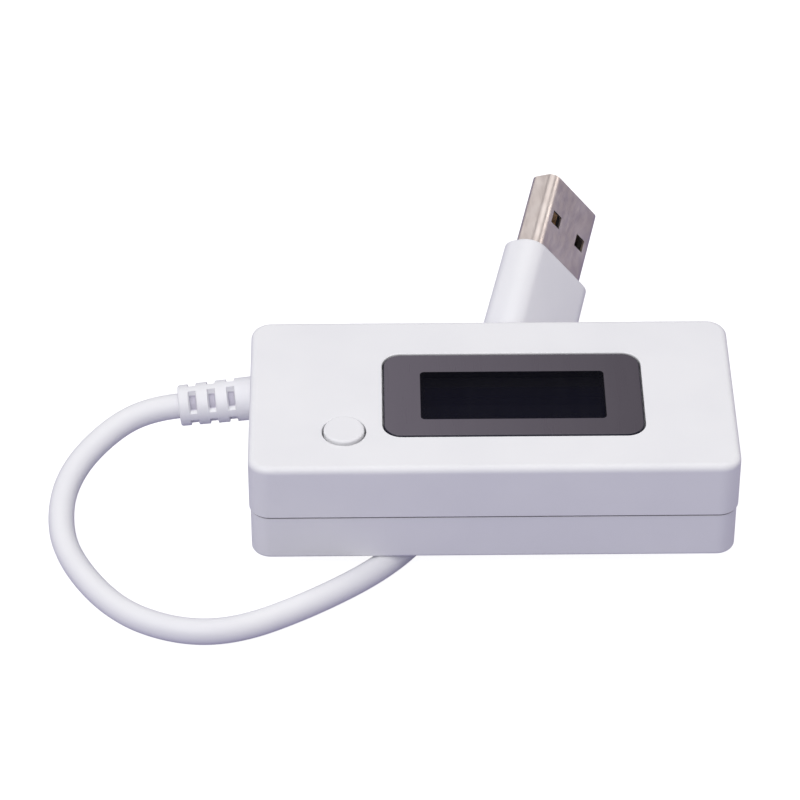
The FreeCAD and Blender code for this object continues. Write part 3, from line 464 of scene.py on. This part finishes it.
# ---------------------------------------------------------------- strain relief
def relief_depth(along, angle, length):
    """Share of a slot's full depth at a place on the sleeve: 1 on a slot's floor, 0 on a ring."""
    deepest = 0.0
    for gap in range(RELIEF_GAPS):
        middle = length - RELIEF_LAST_RING - gap * RELIEF_PITCH
        reach = (RELIEF_SLOT[0] / 2 - abs(along - middle)) / RELIEF_SLOT_EDGE
        lengthwise = smooth_step(reach + 0.5)
        if lengthwise == 0.0:
            continue
        for quarter in range(4):
            turn = angle - math.radians(45 + 90 * quarter)
            offset = abs(math.atan2(math.sin(turn), math.cos(turn))) * RELIEF_CORE
            crosswise = smooth_step((RELIEF_SLOT[1] / 2 - offset) / RELIEF_SLOT_EDGE + 0.5)
            deepest = max(deepest, lengthwise * crosswise)
    return deepest


def relief_look_with_painted_shade(start, direction):
    """White PVC with painted shade on the floors of the slots, by the distance from the sleeve's axis."""
    look = white_pvc()
    look.name = "white_pvc_relief_painted_shade"
    nodes, links = look.node_tree.nodes, look.node_tree.links
    where = nodes.new("ShaderNodeTexCoord")
    offset = nodes.new("ShaderNodeVectorMath")
    offset.operation = "SUBTRACT"
    offset.inputs[1].default_value = start
    across = nodes.new("ShaderNodeVectorMath")
    across.operation = "CROSS_PRODUCT"
    across.inputs[1].default_value = direction
    radius = nodes.new("ShaderNodeVectorMath")
    radius.operation = "LENGTH"
    links.new(where.outputs["Object"], offset.inputs[0])
    links.new(offset.outputs["Vector"], across.inputs[0])
    links.new(across.outputs["Vector"], radius.inputs[0])
    # painted shade: darker where the surface lies close to the sleeve's core
    shade = [RELIEF_CORE + height for height in RELIEF_SHADE]
    painted_slot_shade = spread(nodes, links, radius.outputs["Value"], 1.0, 0.0, shade)
    tint_over(look, painted_slot_shade, PAINTED_SLOT_SHADE)
    return look


def add_strain_relief():
    """Slotted sleeve outside the wall, a neck through it and a flange behind it."""
    direction = (LEAD_ROUTE[1] - LEAD_ROUTE[0]).normalized()
    wall_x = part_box("upper_shell")[0].x
    length = (LEAD_ROUTE[0].x - wall_x) / direction.x
    start = LEAD_ROUTE[0] - direction * length
    outward = Vector((-1, 0, 0))
    flange_front = -CASE_WALL - RELIEF_FLANGE_GAP
    flange_back = flange_front - RELIEF_FLANGE_THICKNESS
    flange_side = RELIEF_FLANGE - RELIEF_FLANGE_EDGE
    # distance along the sleeve from the case's face, and radius
    profile = [(flange_back, flange_side), (flange_back + RELIEF_FLANGE_EDGE, RELIEF_FLANGE),
               (flange_front - RELIEF_FLANGE_EDGE, RELIEF_FLANGE), (flange_front, flange_side),
               (flange_front, RELIEF_NECK), (-RELIEF_STANDOFF, RELIEF_NECK),
               (-RELIEF_STANDOFF, RELIEF_RADII[0])]
    straight = length - RELIEF_END_EDGE
    for row in range(1, RELIEF_ROWS):
        along = straight * row / RELIEF_ROWS
        share = along / length
        profile.append((along, RELIEF_RADII[0] + (RELIEF_RADII[1] - RELIEF_RADII[0]) * share))
    for step in range(END_STEPS + 1):
        angle = math.radians(90 * step / END_STEPS)
        profile.append((straight + RELIEF_END_EDGE * math.sin(angle),
                        RELIEF_RADII[1] - RELIEF_END_EDGE * (1 - math.cos(angle))))
    profile.append((length, CABLE_DIAMETER / 2 - RELIEF_BITE))
    rings = []
    for along, radius in profile:
        axis = outward.lerp(direction, smooth_step(along / RELIEF_TURN)).normalized()
        centre = start + (direction if along > 0 else outward) * along
        side = axis.cross(Vector((0, 0, 1))).normalized()
        up = side.cross(axis)
        ring = []
        for index in range(RELIEF_AROUND):
            angle = 2 * math.pi * index / RELIEF_AROUND
            reach = radius
            if along > 0 and radius > RELIEF_CORE:
                reach -= (radius - RELIEF_CORE) * relief_depth(along, angle, length)
            ring.append(centre + (side * math.cos(angle) + up * math.sin(angle)) * reach)
        rings.append(ring)
    mesh = lofted("strain_relief_sleeve", rings)
    return add_piece("strain_relief_sleeve", mesh, relief_look_with_painted_shade(start, direction),
                     ["strain_relief"])


# ---------------------------------------------------------------- plug
def plug_place():
    """Local X points to the tip, Y across the wide side, with the origin at the tip."""
    wide = (PLUG_WIDE - PLUG_AXIS * PLUG_WIDE.dot(PLUG_AXIS)).normalized()
    normal = PLUG_AXIS.cross(wide)
    turn = Matrix((PLUG_AXIS, wide, normal)).transposed()
    return Matrix.Translation(PLUG_TIP) @ turn.to_4x4()


def add_plug_grip(looks):
    """Soft grip: rounded ends, a slow taper, and a pocket that holds the metal shell."""
    place = plug_place()
    front = -PLUG_SHELL_LENGTH
    back = front - GRIP_LENGTH
    front_edge = GRIP_EDGE / 2
    straight = GRIP_LENGTH - front_edge - GRIP_EDGE
    rings = [rounded_ring(PLUG_SHELL_SIZE, PLUG_SHELL_CORNER, place, along)
             for along in (front - PLUG_SHELL_BURIED, front)]

    def ring(along, inset, scale=1.0):
        size = [side * scale - 2 * inset for side in GRIP_SIZE]
        corner = max(GRIP_CORNER - inset, GRIP_SMALLEST_CORNER)
        rings.append(rounded_ring(size, corner, place, along))

    for step in range(END_STEPS + 1):
        angle = math.radians(90 * step / END_STEPS)
        ring(front - front_edge * (1 - math.cos(angle)), front_edge * (1 - math.sin(angle)))
    for row in range(1, GRIP_ROWS):
        share = row / GRIP_ROWS
        ring(front - front_edge - straight * share, 0.0, 1 + (GRIP_GROWTH - 1) * share)
    for step in range(REAR_STEPS + 1):
        angle = math.radians(90 * step / REAR_STEPS)
        ring(back + GRIP_EDGE * (1 - math.sin(angle)), GRIP_EDGE * (1 - math.cos(angle)), GRIP_GROWTH)
    mesh = lofted("plug_grip", rings)
    return add_piece("plug_grip", mesh, looks["white_pvc"], ["plug_overmold"])


# ---------------------------------------------------------------- light and floor
def add_area_light(name, place, size, power, colour):
    """Rectangular light turned towards the box."""
    data = bpy.data.lights.new(name, "AREA")
    data.shape = "RECTANGLE"
    data.size, data.size_y = size
    data.energy = power
    data.color = colour
    lamp = bpy.data.objects.new(name, data)
    lamp.location = place
    lamp.rotation_euler = (-Vector(place)).to_track_quat("-Z", "Y").to_euler()
    bpy.context.scene.collection.objects.link(lamp)


def add_studio():
    """Soft boxes overhead, in front, on the right and behind on the left, in a dim lavender room."""
    world = bpy.data.worlds.new("studio")
    world.use_nodes = True
    background = world.node_tree.nodes["Background"]
    background.inputs["Color"].default_value = (*ROOM, 1.0)
    bpy.context.scene.world = world
    for light in LIGHTS:
        add_area_light(*light)
    bpy.context.scene.view_settings.view_transform = "Standard"


def make_matte(shader, base, glow, strength):
    """Gives a shader a dull surface that also glows."""
    shader.inputs["Base Color"].default_value = (*base, 1.0)
    shader.inputs["Roughness"].default_value = 0.9
    shader.inputs["Specular IOR Level"].default_value = 0.0
    shader.inputs["Emission Color"].default_value = (*glow, 1.0)
    shader.inputs["Emission Strength"].default_value = strength


def add_floor():
    """Pale table top under the lead's lowest point. It looks white, and its bounce is lavender."""
    bm = bmesh.new()
    bmesh.ops.create_grid(bm, x_segments=8, y_segments=8, size=TABLE_REACH)
    mesh = bpy.data.meshes.new("table_top")
    bm.to_mesh(mesh)
    bm.free()
    floor = bpy.data.objects.new("table_top", mesh)
    floor.location.z = CAD_BOX[0].z
    bpy.context.scene.collection.objects.link(floor)
    look, nodes, links, shader = new_material("table_top")
    make_matte(shader, *TABLE_BOUNCE)
    seen = nodes.new("ShaderNodeBsdfPrincipled")
    make_matte(seen, *TABLE_SEEN)
    path = nodes.new("ShaderNodeLightPath")
    pick = nodes.new("ShaderNodeMixShader")
    links.new(path.outputs["Is Camera Ray"], pick.inputs[0])
    links.new(shader.outputs["BSDF"], pick.inputs[1])
    links.new(seen.outputs["BSDF"], pick.inputs[2])
    links.new(pick.outputs["Shader"], nodes["Material Output"].inputs["Surface"])
    mesh.materials.append(look)


# ---------------------------------------------------------------- everything
add_camera()
looks = make_looks()
lead = add_lead(looks)
dress_nodes(looks)
relief = add_strain_relief()
grip = add_plug_grip(looks)
add_studio()
add_floor()
